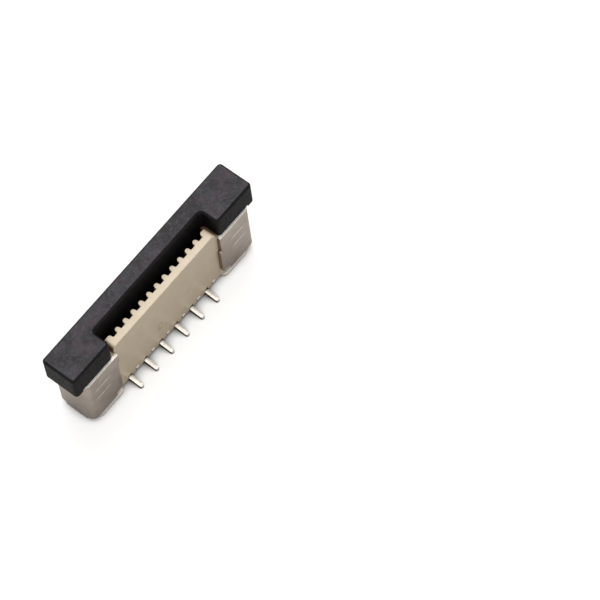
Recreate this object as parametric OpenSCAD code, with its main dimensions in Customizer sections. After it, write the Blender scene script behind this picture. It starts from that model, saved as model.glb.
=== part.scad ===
// Upright board connector for a flat flexible cable, with a slide lock.
// Two plated end caps solder it to the board, and an actuator that slides
// straight up frees the cable from a row of stamped fork contacts.
// X runs along the row of contacts, -Y is the comb side, Z = 0 is the board.

/* [Contact row] */
// Number of contacts
positions = 12; // [4:2:30]
// Distance between neighbouring contacts
pitch = 0.5; // [0.5:0.05:0.8]
// Sheet that the contacts are stamped from
contact_t = 0.2; // [0.15:0.01:0.22]
// Gap between a contact and each wall of its slot
contact_gap = 0.02; // [0.01:0.005:0.03]

/* [Solder tails] */
// Distance from the middle of the connector to a tail's tip
tail_reach = 1.46; // [1.3:0.02:1.8]
// Height of a tail above the board
tail_h = 0.18; // [0.14:0.01:0.19]
// Height of a tail where it leaves the body
tail_root_h = 0.28; // [0.22:0.01:0.34]
// Distance from the middle to the end of the short stub opposite a tail
stub_reach = 0.82; // [0.82:0.01:1]

/* [Housing] */
// Depth of the housing from comb face to back face
body_d = 1.6; // [1.56:0.02:2]
// Height of the housing's underside above the board
standoff = 0.2; // [0.2:0.01:0.3]
// Thickness of the floor that holds the contacts
floor_t = 0.6; // [0.5:0.02:0.8]
// Height of the face that the closed actuator sits on
seat_z = 3.36; // [3.2:0.02:4]
// Height of the comb wall's rim
rim_z = 3.78; // [3.6:0.02:4.2]
// Length of comb wall past the outer contacts
wall_past = 0.53; // [0.4:0.01:0.6]
// Radius of the comb wall's upper end corners
rim_r = 0.18; // [0.06:0.02:0.24]
// Gap between the cable and each end of its space
cable_side_gap = 0.05; // [0.03:0.01:0.15]
// Thickness of the comb wall behind its ribs
comb_wall_t = 0.32; // [0.26:0.01:0.34]
// How far the ribs stand out of the comb wall
rib_proj = 0.21; // [0.18:0.01:0.24]
// Radius of the ribs' tips
rib_r = 0.11; // [0.08:0.01:0.12]
// Thickness of the back wall
back_wall_t = 0.25; // [0.2:0.01:0.28]
// Chamfer on the outer edges of the housing
edge_chamfer = 0.02; // [0.01:0.01:0.06]
// Lead-in chamfer along the mouth of the cable slot
lead_in = 0.05; // [0.02:0.01:0.07]

/* [Actuator] */
// Height of the closed actuator above its seat
actuator_h = 1.23; // [0.9:0.02:1.6]
// How far the actuator opens
travel = 0.9; // [0.5:0.05:1]
// Gap for the cable between the ribs and the actuator
cable_gap = 0.3; // [0.28:0.01:0.36]
// Gap between the comb wall's ends and the sides of the notch
notch_gap = 0.17; // [0.1:0.01:0.3]
// Radius of the notch's inner corners
notch_r = 0.16; // [0.05:0.01:0.3]
// Thickness of the wedge that backs the cable
wedge_t = 0.26; // [0.2:0.01:0.28]
// Depth of the wedge below the seat
wedge_drop = 1.85; // [1.4:0.05:2]
// How far the actuator's ends stand out past the end caps
lip_over = 0.39; // [0.3:0.01:0.7]
// How far those ends hook down below the seat
lip_drop = 0.12; // [0.04:0.01:0.2]
// Radius of the actuator's upright corners
actuator_r = 0.16; // [0.1:0.01:0.3]
// Bevel round the actuator's top
actuator_bevel = 0.09; // [0.04:0.01:0.09]
// Length of each guide leg along the row
leg_l = 0.7; // [0.5:0.02:0.74]
// Depth of each guide leg
leg_d = 0.8; // [0.5:0.02:1]
// Reach of each guide leg below the seat
leg_drop = 2.06; // [1.8:0.02:2.3]
// How far the latch bump stands out of a leg
latch_proj = 0.08; // [0.04:0.01:0.12]
// Height of the latch bump
latch_h = 0.45; // [0.3:0.01:0.5]

/* [End caps] */
// Sheet that the end caps are folded from
sheet_t = 0.15; // [0.1:0.01:0.18]
// Distance from the outer contacts to a cap's inner edge
cap_past = 0.51; // [0.48:0.01:0.7]
// Length of an end cap along the row
cap_l = 2.02; // [1.9:0.02:2.4]
// Radius of the end caps' upright corners, outside
cap_r = 0.28; // [0.24:0.01:0.4]
// How far a cap's rim shows outside the actuator
rim_show = 0.1; // [0.04:0.01:0.12]
// Height of the lower edge of a cap's walls above the board
skirt_z = 0.38; // [0.34:0.01:0.6]
// Depth of the solder plate
plate_d = 1.9; // [1.5:0.02:1.92]
// Depth of the neck that joins the plate to the end wall
neck_d = 1.1; // [0.6:0.02:1.2]
// Radius of the neck's roots
neck_r = 0.1; // [0.04:0.01:0.1]
// Outside radius of the bend between end wall and plate
bend_r = 0.2; // [0.19:0.01:0.24]
// Radius of the plate's corners
plate_r = 0.26; // [0.1:0.02:0.3]
// How far the plate's outer edge stays back from the bend
plate_back = 0.16; // [0.1:0.01:0.2]
// Length of the notch low in each wall's inner end
skirt_notch_l = 0.5; // [0.3:0.02:0.7]
// Height of that notch
skirt_notch_h = 0.28; // [0.2:0.02:0.4]
// Radius of that notch's corner
skirt_notch_r = 0.14; // [0.05:0.01:0.18]
// Depth of the steps in the walls' inner edges
edge_step = 0.1; // [0.04:0.01:0.14]

/* [Fits] */
// Gap between pieces that are pressed together
fit = 0.02; // [0.01:0.005:0.03]
// Gap round pieces that slide
slide_gap = 0.05; // [0.03:0.005:0.06]

/* [Hidden] */
$fn = 48;
CAPS = ["end_cap_left", "end_cap_right"];
function contact_name(i) = str("contact_", i < 10 ? "0" : "", i);
overcut = 0.1;                 // how far a cutter runs past the face it opens

// The row, and everything that is measured out from it
half_row = (positions - 1) * pitch / 2;
wall_half = half_row + wall_past;
cavity_half = (positions + 1) * pitch / 2 + cable_side_gap;
cap_in = half_row + cap_past;
cap_out = cap_in + cap_l;
body_half = cap_out - sheet_t - fit;
body_r = cap_r - sheet_t - fit;

// Depths, from the comb face at -Y to the back face at +Y
body_half_d = body_d / 2;
cap_half_d = body_half_d + fit + sheet_t;
comb_root = -body_half_d + comb_wall_t;
comb_tip = comb_root + rib_proj;
bar_front = comb_tip + cable_gap;
wedge_back = bar_front + wedge_t;
cavity_back = body_half_d - back_wall_t;

// Heights
floor_z = standoff + floor_t;
slot_w = contact_t + 2 * contact_gap;

// Actuator
actuator_half = cap_out + slide_gap + lip_over;
actuator_half_d = cap_half_d - rim_show;
notch_half = wall_half + notch_gap;
base_z = seat_z + fit;         // underside of the closed actuator
top_z = base_z + actuator_h;
leg_in = cavity_half + (body_half - cavity_half - leg_l) * 0.42;
leg_out = leg_in + leg_l;
leg_foot = seat_z - leg_drop;
latch_z = leg_foot + 0.1;      // underside of the latch bump

// Contact, in the plane that it is stamped in
base_h = 0.4;                  // height of the bar that is pressed into the floor
base_low = standoff + 0.05;
base_top = base_low + base_h;
base_half = body_half_d - 0.18;
riser_out = body_half_d - 0.06;  // the tail's step down to the board
riser_in = riser_out - 0.14;
stub_z = standoff + 0.02;        // the short stub opposite the tail
stub_h = 0.2;
arm_top = seat_z - 0.08;
bump_z = arm_top - 0.26;       // height of the point that touches the cable
bump_r = 0.1;
bump_tip = comb_tip + 0.1;
rear_arm_top = seat_z - wedge_drop + 0.55;

module along_x(w) rotate([90, 0, 90]) translate([0, 0, -w / 2]) linear_extrude(w) children();
module along_y(d) rotate([90, 0, 0]) translate([0, 0, -d / 2]) linear_extrude(d) children();
module box(low, high) translate(low) cube(high - low);
module span(low, high) translate(low) square(high - low);
module both_ends() for (side = [0, 1]) mirror([side, 0, 0]) children();
module at_contact(i) translate([-half_row + (i - 1) * pitch, 0, 0]) children();

// A rectangle with its corners rounded, lying between two corner points
module round_span(low, high, r)
{
    span([low.x + r, low.y], [high.x - r, high.y]);
    span([low.x, low.y + r], [high.x, high.y - r]);
    for (x = [low.x + r, high.x - r], y = [low.y + r, high.y - r])
        translate([x, y]) circle(r);
}

// ---- housing ----

// Section across the row, with its outer edges chamfered, the lower ones less
module body_section(top)
{
    c = edge_chamfer;
    low = edge_chamfer / 2;
    d = body_half_d;
    polygon([[-d + low, standoff], [d - low, standoff], [d, standoff + low], [d, top - c],
             [d - c, top], [-d + c, top], [-d, top - c], [-d, standoff + low]]);
}

module comb_wall()
{
    intersection()
    {
        along_x(2 * wall_half) difference()
        {
            body_section(rim_z);
            span([comb_tip, 0], [body_d, rim_z + overcut]);
        }
        along_y(2 * body_d) round_span([-wall_half, 0], [wall_half, rim_z], rim_r);
    }
}

// The channel that a contact's arm stands in, open between two ribs that
// taper towards round tips
module comb_slot()
{
    w = slot_w / 2;
    mouth = pitch / 2 - rib_r;
    waist = comb_tip - rib_r;
    translate([0, 0, floor_z]) linear_extrude(rim_z + overcut - floor_z)
    {
        polygon([[-w, comb_root], [w, comb_root], [mouth, waist], [mouth, comb_tip + overcut],
                 [-mouth, comb_tip + overcut], [-mouth, waist]]);
        difference()
        {
            span([-pitch / 2, waist], [pitch / 2, comb_tip + overcut]);
            for (side = [-1, 1]) translate([side * pitch / 2, waist]) circle(rib_r);
        }
    }
}

// The cable's space behind the comb, open at the top
module cavity()
{
    box([-cavity_half, comb_tip, floor_z], [cavity_half, cavity_back, rim_z + overcut]);
    mouth = cavity_back + lead_in;
    along_x(2 * cavity_half)
        polygon([[cavity_back - overcut, seat_z - lead_in - overcut], [cavity_back, seat_z - lead_in],
                 [mouth, seat_z], [mouth, rim_z], [cavity_back - overcut, rim_z]]);
}

// The slot in the floor that a contact is pressed up into
module floor_slot()
{
    reach = base_half + fit;
    box([-slot_w / 2, -reach, 0], [slot_w / 2, reach, base_top + fit]);
    box([-slot_w / 2, comb_root, 0], [slot_w / 2, cavity_back, floor_z + overcut]);
    // relief over the tail and the stub where they leave the body
    box([-slot_w / 2, -body_d, 0], [slot_w / 2, body_d, stub_z + stub_h + fit]);
}

// The blind pocket that guides one leg, with the groove that its latch runs in
module leg_pocket()
{
    d = leg_d / 2 + slide_gap;
    box([leg_in - slide_gap, -d, leg_foot - slide_gap], [leg_out + slide_gap, d, seat_z + overcut]);
    box([leg_out, -d, latch_z - slide_gap],
        [leg_out + latch_proj + slide_gap, d, latch_z + latch_h + travel + slide_gap]);
}

module housing() color("wheat")
{
    difference()
    {
        union()
        {
            intersection()
            {
                along_x(2 * body_half) body_section(seat_z);
                linear_extrude(rim_z) round_span([-body_half, -body_half_d], [body_half, body_half_d], body_r);
            }
            comb_wall();
        }
        cavity();
        for (i = [1 : positions]) at_contact(i)
        {
            comb_slot();
            floor_slot();
        }
        both_ends() leg_pocket();
    }
}

// ---- actuator ----

// A section whose two upper corners are bevelled, or flared when c is below zero
module bevel_section(low, high, base, top, c)
{
    shoulder = top - abs(c);
    polygon([[low, base], [high, base], [high, shoulder], [high - c, top], [low + c, top], [low, shoulder]]);
}

// A block with round upright corners and the same bevel all round its top
module bevel_span(low, high, r, base, top, c)
{
    mid = (low + high) / 2;
    size = high - low;
    translate([mid.x, 0, 0]) along_x(size.x - 2 * r) bevel_section(low.y, high.y, base, top, c);
    translate([0, mid.y, 0]) along_y(size.y - 2 * r) bevel_section(low.x, high.x, base, top, c);
    for (x = [low.x + r, high.x - r], y = [low.y + r, high.y - r])
        translate([x, y, 0]) rotate_extrude() intersection()
        {
            bevel_section(-r, r, base, top, c);
            span([0, base], [2 * r - c, top]);
        }
}

// A bar with two end blocks, open towards the comb
module bar()
{
    deep = actuator_bevel + overcut;
    difference()
    {
        bevel_span([-actuator_half, -actuator_half_d], [actuator_half, actuator_half_d],
                   actuator_r, base_z, top_z, actuator_bevel);
        bevel_span([-notch_half, -body_d], [notch_half, bar_front],
                   notch_r, base_z - overcut, top_z + overcut, -deep);
        both_ends() notch_corner();
    }
}

// Rounds the upright edge where the notch meets the comb-side face
module notch_corner()
{
    r = actuator_r;
    translate([notch_half + r, -actuator_half_d + r, 0]) difference()
    {
        box([-r - overcut, -r - overcut, base_z - overcut], [0, 0, top_z + overcut]);
        rotate_extrude() intersection()
        {
            bevel_section(-r, r, base_z - 2 * overcut, top_z, actuator_bevel);
            span([0, 0], [r + overcut, top_z + overcut]);
        }
    }
}

// The wedge that presses the cable on to the contacts
module wedge()
{
    tip = base_z - wedge_drop;
    taper = 0.08;
    along_x(2 * (cavity_half - slide_gap))
        polygon([[bar_front, base_z + overcut], [bar_front, tip + 4 * taper], [bar_front + taper, tip],
                 [wedge_back - taper / 2, tip], [wedge_back, tip + 2 * taper], [wedge_back, base_z + overcut]]);
}

module leg()
{
    box([leg_in, -leg_d / 2, leg_foot], [leg_out, leg_d / 2, base_z + overcut]);
    ramp = latch_proj;
    along_y(leg_d * 0.75)
        polygon([[leg_out - overcut, latch_z], [leg_out, latch_z], [leg_out + ramp, latch_z + ramp],
                 [leg_out + ramp, latch_z + latch_h], [leg_out - overcut, latch_z + latch_h]]);
}

module actuator() color("dimgray")
{
    bar();
    both_ends()
    {
        leg();
        // lip that hooks down outside the end cap
        translate([0, 0, base_z - lip_drop]) linear_extrude(lip_drop + overcut) intersection()
        {
            round_span([0, -actuator_half_d], [actuator_half, actuator_half_d], actuator_r);
            span([cap_out + slide_gap, -body_d], [actuator_half + overcut, body_d]);
        }
    }
    wedge();
}

// ---- end caps ----

// The folded band seen from above: two side walls and an end wall
module band_outline()
{
    inner_r = cap_r - sheet_t;
    difference()
    {
        round_span([-cap_out, -cap_half_d], [cap_out, cap_half_d], cap_r);
        round_span([-cap_out + sheet_t, -cap_half_d + sheet_t], [cap_out - sheet_t, cap_half_d - sheet_t], inner_r);
        span([-cap_out - overcut, -body_d], [cap_in, body_d]);
    }
}

// What is cut from one side wall's inner edge: a low notch, and a step
// between two heights that leaves the edge further from the housing's face
module wall_cuts(side, step_low, step_high)
{
    r = skirt_notch_r;
    translate([0, side * cap_half_d, 0]) along_y(2 * sheet_t + overcut)
    {
        span([cap_in - overcut, step_low], [cap_in + edge_step, step_high]);
        round_span([cap_in - overcut - 2 * r, skirt_z - overcut - 2 * r],
                   [cap_in + skirt_notch_l, skirt_z + skirt_notch_h], r);
    }
}

// The flap: down from the end wall, round the bend and in under the body
module flap()
{
    centre = [cap_out - bend_r, bend_r];
    along_y(neck_d)
    {
        span([cap_out - sheet_t, bend_r], [cap_out, skirt_z + overcut]);
        intersection()
        {
            translate(centre) difference()
            {
                circle(bend_r);
                circle(bend_r - sheet_t);
            }
            span([centre.x, 0], [cap_out, centre.y]);
        }
    }
    plate_out = centre.x - plate_back;
    linear_extrude(sheet_t)
    {
        round_span([cap_in, -plate_d / 2], [plate_out, plate_d / 2], plate_r);
        span([plate_out - plate_r, -neck_d / 2], [centre.x, neck_d / 2]);
    }
    // round roots where the neck leaves the end wall
    root = [neck_d / 2 + neck_r, skirt_z - neck_r];
    for (side = [0, 1]) translate([cap_out - sheet_t / 2, 0, 0]) mirror([0, side, 0]) along_x(sheet_t)
        difference()
        {
            span([root.x - neck_r - overcut, root.y], [root.x, skirt_z + overcut]);
            translate(root) circle(neck_r);
        }
}

// One part serves both ends, turned half round
module end_cap()
{
    difference()
    {
        translate([0, 0, skirt_z]) linear_extrude(seat_z - skirt_z) band_outline();
        wall_cuts(-1, seat_z - 1.1, seat_z + overcut);
        wall_cuts(1, skirt_z, seat_z - 0.56);
    }
    flap();
}

module end_cap_right() color("silver") end_cap();
module end_cap_left() color("silver") rotate([0, 0, 180]) end_cap();

// ---- contacts ----

// The fork that holds the cable: a springy front arm and a short rear one
module fork()
{
    back = comb_root + fit;
    root = comb_tip + 0.04;
    neck = bump_tip - bump_r;
    polygon([[back, base_low], [root, base_low], [root - 0.04, base_top + 0.5],
             [neck, bump_z], [neck - 0.02, arm_top], [back, arm_top]]);
    translate([neck, bump_z]) circle(bump_r);
    rear = (wedge_back + cavity_back) / 2;
    half = (cavity_back - wedge_back) / 2 - fit;
    span([rear - half, base_low], [rear + half, rear_arm_top]);
    translate([rear, rear_arm_top]) circle(half);
}

// Stamping with its tail towards -Y
module stamping()
{
    tip_r = tail_h / 2;
    difference()
    {
        span([-base_half, base_low], [base_half, base_top]);
        round_span([-0.22, base_low - 0.2], [0.2, base_low + 0.12], 0.06);
    }
    for (y = [-0.31, 0.28]) translate([y, base_low]) circle(0.05);
    // stub
    round_span([base_half - 0.3, stub_z], [stub_reach, stub_z + stub_h], 0.07);
    // tail, with a step down to the board
    span([-riser_out, stub_z], [-base_half + 0.3, stub_z + stub_h]);
    span([-riser_out, 0], [-riser_in, stub_z + stub_h]);
    polygon([[-riser_in, 0], [-riser_in, tail_root_h], [-riser_out, tail_root_h], [-tail_reach + tip_r, tail_h],
             [-tail_reach + tip_r, 0]]);
    span([-tail_reach, 0], [-tail_reach + tip_r, tip_r]);
    translate([-tail_reach + tip_r, tip_r]) circle(tip_r);
}

// Rounds the tip of a tail, seen from above
module tail_outline()
{
    r = contact_t / 2;
    span([-contact_t, -tail_reach + r], [contact_t, body_d]);
    translate([0, -tail_reach + r]) circle(r);
}

// Odd contacts have their tail on the comb side, even ones behind
module contact(i) color("gainsboro") at_contact(i) intersection()
{
    even = (i + 1) % 2;
    along_x(contact_t)
    {
        fork();
        mirror([even, 0]) stamping();
    }
    linear_extrude(seat_z) mirror([0, even, 0]) tail_outline();
}

housing();
actuator();
end_cap_left();
end_cap_right();
for (i = [1 : positions])
    contact(i);
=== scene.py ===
import math

import bmesh
import bpy
from mathutils import Matrix, Vector


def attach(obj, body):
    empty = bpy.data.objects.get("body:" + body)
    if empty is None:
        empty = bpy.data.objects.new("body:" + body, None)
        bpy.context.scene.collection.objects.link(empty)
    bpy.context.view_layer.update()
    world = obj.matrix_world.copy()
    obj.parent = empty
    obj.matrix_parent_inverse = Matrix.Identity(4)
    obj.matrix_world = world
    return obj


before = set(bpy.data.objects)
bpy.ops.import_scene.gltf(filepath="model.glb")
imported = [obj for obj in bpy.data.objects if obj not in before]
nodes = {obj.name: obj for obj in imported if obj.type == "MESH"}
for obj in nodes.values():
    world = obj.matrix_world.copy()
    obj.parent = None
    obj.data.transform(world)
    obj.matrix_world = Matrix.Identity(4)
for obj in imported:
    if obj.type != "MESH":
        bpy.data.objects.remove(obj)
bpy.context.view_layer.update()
scene = bpy.context.scene
mm = 0.001
print("stage: frame loaded,", len(nodes), "nodes")


def srgb(text):
    channels = [int(text[i:i + 2], 16) / 255 for i in (0, 2, 4)]
    linear = [v / 12.92 if v <= 0.04045 else ((v + 0.055) / 1.055) ** 2.4 for v in channels]
    return (*linear, 1.0)


def addNode(tree, kind, inputs=None, **settings):
    # an input is linked where a socket is given, and set where a value is
    node = tree.nodes.new(kind)
    for name, value in settings.items():
        setattr(node, name, value)
    for name, value in (inputs or {}).items():
        if isinstance(value, bpy.types.NodeSocket):
            tree.links.new(value, node.inputs[name])
        else:
            node.inputs[name].default_value = value
    return node


def startMaterial(name, sockets):
    material = bpy.data.materials.new(name)
    material.use_nodes = True
    tree = material.node_tree
    shader = tree.nodes["Principled BSDF"]
    for socket, value in sockets.items():
        shader.inputs[socket].default_value = value
    place = addNode(tree, "ShaderNodeTexCoord").outputs["Object"]
    return material, tree, shader, place


def feed(tree, shader, sockets):
    for socket, value in sockets.items():
        tree.links.new(value, shader.inputs[socket])


def noise(tree, place, size, detail=3.0, rough=0.55, stretch=(1, 1, 1), turn=(0, 0, 0)):
    # size is the pattern's scale in mm
    mapping = addNode(tree, "ShaderNodeMapping", {"Vector": place, "Scale": stretch, "Rotation": turn})
    texture = addNode(tree, "ShaderNodeTexNoise",
                      {"Vector": mapping.outputs["Vector"], "Scale": 1 / (size * mm),
                       "Detail": detail, "Roughness": rough})
    return texture.outputs["Fac"]


def spread(tree, value, low, high, start=0.3, end=0.7):
    # start to end becomes low to high, and holds there on both sides
    node = addNode(tree, "ShaderNodeMapRange",
                   {"Value": value, "From Min": start, "From Max": end, "To Min": low, "To Max": high})
    return node.outputs["Result"]


def blend(tree, factor, first, second):
    # 0, 6 and 7 are the factor and the two colours of a Mix node
    return addNode(tree, "ShaderNodeMix", {0: factor, 6: first, 7: second}, data_type="RGBA").outputs[2]


def reckon(tree, operation, first, second=0.0):
    return addNode(tree, "ShaderNodeMath", {0: first, 1: second}, operation=operation).outputs[0]


def product(tree, *values):
    total = values[0]
    for value in values[1:]:
        total = reckon(tree, "MULTIPLY", total, value)
    return total


def greatest(tree, *values):
    total = values[0]
    for value in values[1:]:
        total = reckon(tree, "MAXIMUM", total, value)
    return total


def facing(tree, axis):
    # how far the surface looks along one axis of the object
    normal = addNode(tree, "ShaderNodeTexCoord").outputs["Normal"]
    return addNode(tree, "ShaderNodeSeparateXYZ", {"Vector": normal}).outputs[axis]


def openness(tree, reachMm, low, high, samples=8):
    # 0 in creases, 1 where the surface lies open
    shadeAndSpeck = addNode(tree, "ShaderNodeAmbientOcclusion", {"Distance": reachMm * mm}, samples=samples)
    return spread(tree, shadeAndSpeck.outputs["AO"], 0.0, 1.0, low, high)


def addBump(tree, shader, layers, edgeMm=0):
    # layers are (height, depth in mm, strength), each one on top of the last
    normal = None
    if edgeMm:
        normal = addNode(tree, "ShaderNodeBevel", {"Radius": edgeMm * mm}, samples=6).outputs["Normal"]
    for height, depth, strength in layers:
        inputs = {"Height": height, "Distance": depth * mm, "Strength": strength}
        if normal is not None:
            inputs["Normal"] = normal
        normal = addNode(tree, "ShaderNodeBump", inputs).outputs["Normal"]
    tree.links.new(normal, shader.inputs["Normal"])


def raySplit(tree, seen, mirrored, other):
    # picks a value for camera rays, for mirrored or clear ones, and for all the rest
    path = addNode(tree, "ShaderNodeLightPath")
    sharp = reckon(tree, "MAXIMUM", path.outputs["Is Glossy Ray"], path.outputs["Is Transmission Ray"])
    unseen = spread(tree, sharp, other, mirrored, 0, 1)
    return spread(tree, path.outputs["Is Camera Ray"], unseen, seen, 0, 1)


housingLook = {
    "pale": "dfceb5", "deep": "cdb99b", "shadeAndSpeck": "6b4a22", "ior": 1.55,
    "cloudMm": 0.6, "fibreMm": 0.12, "fleckMm": 0.072, "grainMm": 0.05,
    "creaseShadeMm": 0.45, "edgeMm": 0.02, "roughness": (0.3, 0.46), "reliefMm": 0.002,
}


def housingPlastic(look):
    material, tree, shader, place = startMaterial("mouldedLcpBeige", {"IOR": look["ior"]})
    clouds = noise(tree, place, look["cloudMm"], 4)
    grain = noise(tree, place, look["grainMm"], 2)
    fibre = noise(tree, place, look["fibreMm"], 3, 0.6)
    fleck = noise(tree, place, look["fleckMm"], 1, 0.5, turn=(0.3, 1.1, 0.5))
    colour = blend(tree, spread(tree, clouds, 0.1, 0.5), srgb(look["pale"]), srgb(look["deep"]))
    colour = blend(tree, spread(tree, fibre, 0, 0.3, 0.45, 0.75), colour, srgb(look["deep"]))
    # sparse dark specks of filler
    colour = blend(tree, spread(tree, fleck, 0, 0.3, 0.72, 0.78), colour, srgb(look["shadeAndSpeck"]))
    # painted shade: creases, recesses and the gaps between parts are darkened towards a deep ochre
    colour = blend(tree, openness(tree, look["creaseShadeMm"], 0.3, 0.8), srgb(look["shadeAndSpeck"]), colour)
    feed(tree, shader, {"Base Color": colour, "Roughness": spread(tree, grain, *look["roughness"])})
    addBump(tree, shader, [(fibre, look["reliefMm"], 0.3), (grain, look["reliefMm"], 0.4)], look["edgeMm"])
    return material


actuatorLook = {
    "pale": "464246", "deep": "1b191b", "tint": "3b3036", "cool": "303237", "side": "0d0c0d", "ior": 1.5,
    "cloudMm": 0.45, "driftMm": 0.765, "speckMm": 0.12, "grainMm": 0.05, "edgeMm": 0.03,
    "roughness": (0.64, 0.46), "sideGloss": 0.08, "topGloss": 0.26,
    "cloudReliefMm": 0.01, "speckReliefMm": 0.008, "grainReliefMm": 0.004,
}


def actuatorPlastic(look):
    material, tree, shader, place = startMaterial("mouldedPpsBlack", {"IOR": look["ior"]})
    clouds = noise(tree, place, look["cloudMm"], 3, 0.6)
    drift = noise(tree, place, look["driftMm"], 3, 0.6, turn=(0.6, 0.2, 0.9))
    specks = noise(tree, place, look["speckMm"], 4, 0.7)
    grain = noise(tree, place, look["grainMm"], 2)
    colour = blend(tree, spread(tree, clouds, 0, 1, 0.42, 0.6), srgb(look["tint"]), srgb(look["cool"]))
    colour = blend(tree, spread(tree, drift, 0, 0.8, 0.44, 0.58), colour, srgb(look["deep"]))
    colour = blend(tree, spread(tree, specks, 0, 0.7, 0.5, 0.7), colour, srgb(look["pale"]))
    # painted shade: the upright sides are darkened to near black and the top is kept greyish, by which way
    # each face looks; the top also reflects more
    litTop = spread(tree, facing(tree, "Z"), 0, 1, 0.65, 0.98)
    colour = blend(tree, litTop, srgb(look["side"]), colour)
    feed(tree, shader, {"Base Color": colour,
                        "Roughness": spread(tree, specks, *look["roughness"]),
                        "Specular IOR Level": spread(tree, litTop, look["sideGloss"], look["topGloss"], 0, 1)})
    addBump(tree, shader, [(clouds, look["cloudReliefMm"], 0.4), (specks, look["speckReliefMm"], 0.6),
                           (grain, look["grainReliefMm"], 0.5)], look["edgeMm"])
    return material


# strokes are (from, to, height, half width) in mm, along both ends' walls
sheetLook = {
    "pale": "aea39a", "deep": "93877f", "edge": "efe9e2",
    "cloudMm": 0.6, "lineMm": 0.05, "breakMm": 0.16, "grainMm": 0.045,
    "roughness": (0.5, 0.38), "reliefMm": 0.002, "bareMetal": 1.0, "dullMetal": 0.25,
    "edgeLowMm": 0.16, "edgeHighMm": 3.33, "strokeFadeMm": 0.25, "bevelMm": 0.03,
    "strokes": [(3.85, 4.95, 2.46, 0.04), (3.9, 4.95, 1.79, 0.038), (4.2, 4.7, 2.95, 0.014)],
}


def placeInMm(tree, place):
    # distance from the middle of the row, depth and height
    split = addNode(tree, "ShaderNodeSeparateXYZ", {"Vector": place})
    along, depth, height = (reckon(tree, "MULTIPLY", split.outputs[axis], 1 / mm) for axis in "XYZ")
    return reckon(tree, "ABSOLUTE", along), depth, height


def tinnedSheet(look):
    material, tree, shader, place = startMaterial("drawnTinPlate", {})
    side, _, height = placeInMm(tree, place)
    clouds = noise(tree, place, look["cloudMm"], 3)
    lines = noise(tree, place, look["lineMm"], 2, 0.5, (0.07, 0.07, 1))
    broken = noise(tree, place, look["breakMm"], 2)
    grain = noise(tree, place, look["grainMm"], 2)
    colour = blend(tree, spread(tree, clouds, 0.1, 0.7), srgb(look["pale"]), srgb(look["deep"]))
    colour = blend(tree, spread(tree, lines, 0, 0.4, 0.5, 0.75), colour, srgb(look["pale"]))
    # lines that the drawing tool left along the walls, painted pale as the highlight they catch
    markHighlights = []
    fade = look["strokeFadeMm"]
    for start, end, level, half in look["strokes"]:
        above = spread(tree, height, 0, 1, level - half, level - half * 0.4)
        below = spread(tree, height, 1, 0, level + half * 0.4, level + half)
        starts = spread(tree, side, 0, 1, start, start + fade)
        ends = spread(tree, side, 1, 0, end - fade, end)
        markHighlights.append(product(tree, above, below, starts, ends))
    markHighlights = product(tree, greatest(tree, *markHighlights), spread(tree, broken, 0.35, 1, 0.3, 0.55))
    # the top edge and the flap are dull and pale: bare sheared metal on the cut edges, and partly a painted
    # highlight where they catch the light
    shearedAndHighlit = greatest(tree, spread(tree, height, 0, 1, look["edgeHighMm"], look["edgeHighMm"] + 0.015),
                       spread(tree, height, 1, 0, look["edgeLowMm"], look["edgeLowMm"] + 0.02))
    dullAndHighlit = greatest(tree, shearedAndHighlit, markHighlights)
    colour = blend(tree, dullAndHighlit, colour, srgb(look["edge"]))
    feed(tree, shader, {"Base Color": colour,
                        "Metallic": spread(tree, dullAndHighlit, look["bareMetal"], look["dullMetal"], 0, 1),
                        "Roughness": spread(tree, lines, *look["roughness"])})
    addBump(tree, shader, [(lines, look["reliefMm"], 0.4), (grain, look["reliefMm"], 0.5)])
    return material


contactLook = {
    "pale": "e9e4dc", "deep": "d2cbc1", "shadeAndSpeck": "4a3f34", "flankShade": "5b4a3c", "metallic": 0.8,
    "cloudMm": 0.16, "grainMm": 0.04, "creaseShadeMm": 0.2, "roughness": (0.28, 0.42),
    "cloudReliefMm": 0.002, "grainReliefMm": 0.001, "bevelMm": 0.02,
}


def tinnedContact(look):
    material, tree, shader, place = startMaterial("brightTinOnBronze", {"Metallic": look["metallic"]})
    clouds = noise(tree, place, look["cloudMm"], 3)
    grain = noise(tree, place, look["grainMm"], 2)
    colour = blend(tree, spread(tree, clouds, 0, 1), srgb(look["pale"]), srgb(look["deep"]))
    # painted shade: the faces turned along the row are darkened to a dark brown, so the sides of the tails
    # read as dark lines
    across = reckon(tree, "ABSOLUTE", facing(tree, "X"))
    colour = blend(tree, spread(tree, across, 0, 1, 0.6, 0.85), colour, srgb(look["flankShade"]))
    # painted shade: creases and the roots of the contacts are darkened
    colour = blend(tree, openness(tree, look["creaseShadeMm"], 0.3, 0.8), srgb(look["shadeAndSpeck"]), colour)
    feed(tree, shader, {"Base Color": colour, "Roughness": spread(tree, grain, *look["roughness"])})
    addBump(tree, shader, [(clouds, look["cloudReliefMm"], 0.4), (grain, look["grainReliefMm"], 0.4)])
    return material


# two low ovals on the comb face, where the plastic went into the mould
gateLooks = [
    {"name": "gate_pad", "material": "mouldedLcpScarPad", "tint": "c4b596",
     "atMm": (-0.61, -0.8, 1.48), "halfMm": (0.17, 0.012, 0.34)},
    {"name": "gate_ridge", "material": "mouldedLcpScarRidge", "tint": "ece2b4",
     "atMm": (-0.56, -0.8, 1.53), "halfMm": (0.035, 0.03, 0.2)},
]
scarLook = {"deep": housingLook["deep"], "ior": housingLook["ior"], "blotchMm": 0.08, "reliefMm": 0.003,
            "roughness": (0.3, 0.5), "sunkMm": 0.005}


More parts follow.
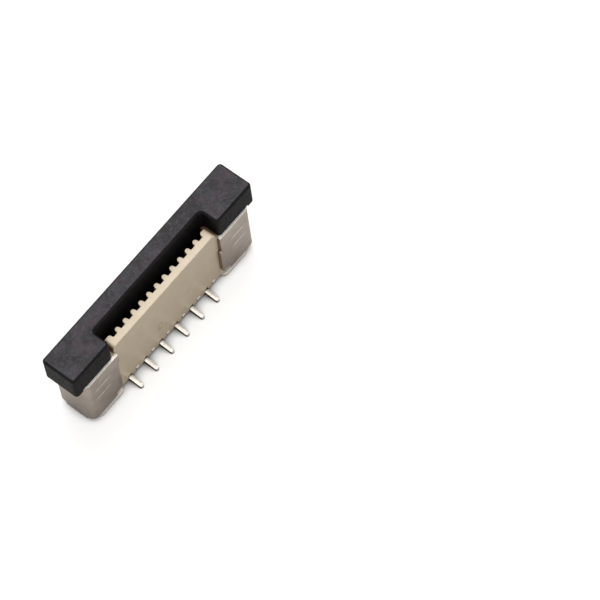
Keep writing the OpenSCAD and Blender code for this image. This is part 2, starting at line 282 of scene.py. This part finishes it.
def gateScar(piece, look):
    mesh = bpy.data.meshes.new(piece["name"])
    shape = bmesh.new()
    matrix = (Matrix.Translation(Vector(piece["atMm"]) * mm)
              @ Matrix.Diagonal((*(Vector(piece["halfMm"]) * mm), 1)))
    bmesh.ops.create_uvsphere(shape, u_segments=24, v_segments=16, radius=1, matrix=matrix)
    # the half inside the wall is cut off a little under its face
    cut = (piece["atMm"][1] + look["sunkMm"]) * mm
    bmesh.ops.bisect_plane(shape, geom=shape.verts[:] + shape.edges[:] + shape.faces[:], dist=1e-8,
                           plane_co=(0, cut, 0), plane_no=(0, 1, 0), clear_outer=True)
    for face in shape.faces:
        face.smooth = True
    shape.to_mesh(mesh)
    shape.free()
    scar = bpy.data.objects.new(piece["name"], mesh)
    scene.collection.objects.link(scar)
    material, tree, shader, place = startMaterial(piece["material"], {"IOR": look["ior"]})
    blotch = noise(tree, place, look["blotchMm"], 3)
    colour = blend(tree, spread(tree, blotch, 0, 0.7), srgb(piece["tint"]), srgb(look["deep"]))
    feed(tree, shader, {"Base Color": colour, "Roughness": spread(tree, blotch, *look["roughness"])})
    addBump(tree, shader, [(blotch, look["reliefMm"], 0.5)])
    mesh.materials.append(material)
    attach(scar, "connector_body")


for gatePiece in gateLooks:
    gateScar(gatePiece, scarLook)
print("stage: gate scar on the comb face")


edgeLook = {"weldMm": 0.0005, "segments": 2, "sharpDeg": 35}


def dress(names, material, bevelMm=0):
    for name in names:
        piece = nodes[name]
        piece.data.materials.clear()
        piece.data.materials.append(material)
        if bevelMm:
            weld = piece.modifiers.new("weld", "WELD")
            weld.merge_threshold = edgeLook["weldMm"] * mm
            edge = piece.modifiers.new("edge", "BEVEL")
            edge.width = bevelMm * mm
            edge.segments = edgeLook["segments"]
            edge.limit_method = "ANGLE"
            edge.angle_limit = math.radians(edgeLook["sharpDeg"])
            edge.use_clamp_overlap = True
            normals = piece.modifiers.new("normals", "WEIGHTED_NORMAL")
            normals.weight = 50


contacts = sorted(n for n in nodes if n.startswith("contact"))
dress(["housing"], housingPlastic(housingLook))
dress(["actuator"], actuatorPlastic(actuatorLook))
dress(["end_cap_left", "end_cap_right"], tinnedSheet(sheetLook), sheetLook["bevelMm"])
dress(contacts, tinnedContact(contactLook), contactLook["bevelMm"])
print("stage: materials on", len(nodes), "nodes")


# the floor glows only for rays that see it or mirror it, and less near the object: a painted contact shadow
# for the camera, and painted shade in what the parts mirror
floorLook = {
    "halfMm": 900, "belowMm": 0.02, "colour": "b6b4b0",
    "seenGlow": 0.66, "nearMm": 0.8, "mirroredGlow": 0.55, "mirroredShadeMm": 3.5,
}


def buildFloor(look):
    mesh = bpy.data.meshes.new("floor")
    shape = bmesh.new()
    bmesh.ops.create_grid(shape, x_segments=1, y_segments=1, size=look["halfMm"] * mm,
                          matrix=Matrix.Translation((0, 0, -look["belowMm"] * mm)))
    shape.to_mesh(mesh)
    shape.free()
    floor = bpy.data.objects.new("floor", mesh)
    scene.collection.objects.link(floor)
    material = bpy.data.materials.new("paperWhite")
    material.use_nodes = True
    tree = material.node_tree
    tree.nodes.clear()
    seen = product(tree, openness(tree, look["nearMm"], 0.3, 0.7, 16), look["seenGlow"])
    mirrored = product(tree, openness(tree, look["mirroredShadeMm"], 0.5, 1.0), look["mirroredGlow"])
    paper = addNode(tree, "ShaderNodeBsdfDiffuse", {"Color": srgb(look["colour"])})
    glow = addNode(tree, "ShaderNodeEmission",
                   {"Color": (1, 1, 1, 1), "Strength": raySplit(tree, seen, mirrored, 0.0)})
    total = addNode(tree, "ShaderNodeAddShader", {0: paper.outputs[0], 1: glow.outputs[0]})
    addNode(tree, "ShaderNodeOutputMaterial", {"Surface": total.outputs[0]})
    mesh.materials.append(material)


worldLook = {"colour": (1, 1, 1, 1), "strength": 0.4}


def buildWorld(look):
    world = bpy.data.worlds.new("softRoom")
    scene.world = world
    world.use_nodes = True
    tree = world.node_tree
    tree.nodes.clear()
    background = addNode(tree, "ShaderNodeBackground",
                         {"Color": look["colour"], "Strength": raySplit(tree, 1.0, 1.0, look["strength"])})
    addNode(tree, "ShaderNodeOutputWorld", {"Surface": background.outputs[0]})


lampLooks = [
    {"name": "overhead", "towards": (-0.06, -0.24, 1.0), "awayMm": 180, "sizeMm": 200, "watts": 0.14},
    {"name": "behind", "towards": (0.29, 0.36, 0.89), "awayMm": 180, "sizeMm": 100, "watts": 0.12},
]


def buildLamp(look):
    data = bpy.data.lights.new(look["name"], "AREA")
    data.shape = "SQUARE"
    data.size = look["sizeMm"] * mm
    data.energy = look["watts"]
    lamp = bpy.data.objects.new(look["name"], data)
    aim = Vector(look["towards"]).normalized()
    lamp.location = aim * look["awayMm"] * mm
    lamp.rotation_euler = aim.to_track_quat("Z", "Y").to_euler()
    scene.collection.objects.link(lamp)


cameraLook = {
    "azimuthDeg": -39.132, "elevationDeg": 62.557, "rollDeg": -12.524, "asideDeg": 2.35,
    "aimMm": (0, 0, 2), "awayMm": 147.97, "lens": 213.82, "sensor": 36, "nearestMm": 0.5, "farthestMm": 10000,
}


def buildCamera(look):
    azimuth = math.radians(look["azimuthDeg"])
    elevation = math.radians(look["elevationDeg"])
    back = Vector((math.sin(azimuth) * math.cos(elevation), -math.cos(azimuth) * math.cos(elevation),
                   math.sin(elevation)))
    place = Vector(look["aimMm"]) * mm + back * look["awayMm"] * mm
    right = Vector((0, 0, 1)).cross(back).normalized()
    right.rotate(Matrix.Rotation(math.radians(look["rollDeg"]), 3, back))
    up = back.cross(right)
    # the object lies to the left of the middle of the view
    back.rotate(Matrix.Rotation(-math.radians(look["asideDeg"]), 3, up))
    right = up.cross(back)
    data = bpy.data.cameras.new("camera")
    data.lens = look["lens"]
    data.sensor_width = look["sensor"]
    data.clip_start = look["nearestMm"] * mm
    data.clip_end = look["farthestMm"] * mm
    camera = bpy.data.objects.new("camera", data)
    camera.matrix_world = Matrix((
        (right.x, up.x, back.x, place.x),
        (right.y, up.y, back.y, place.y),
        (right.z, up.z, back.z, place.z),
        (0, 0, 0, 1)))
    scene.collection.objects.link(camera)
    scene.camera = camera


buildFloor(floorLook)
buildWorld(worldLook)
for lampLook in lampLooks:
    buildLamp(lampLook)
buildCamera(cameraLook)
scene.view_settings.view_transform = "Standard"
print("stage: floor, lamps and camera")
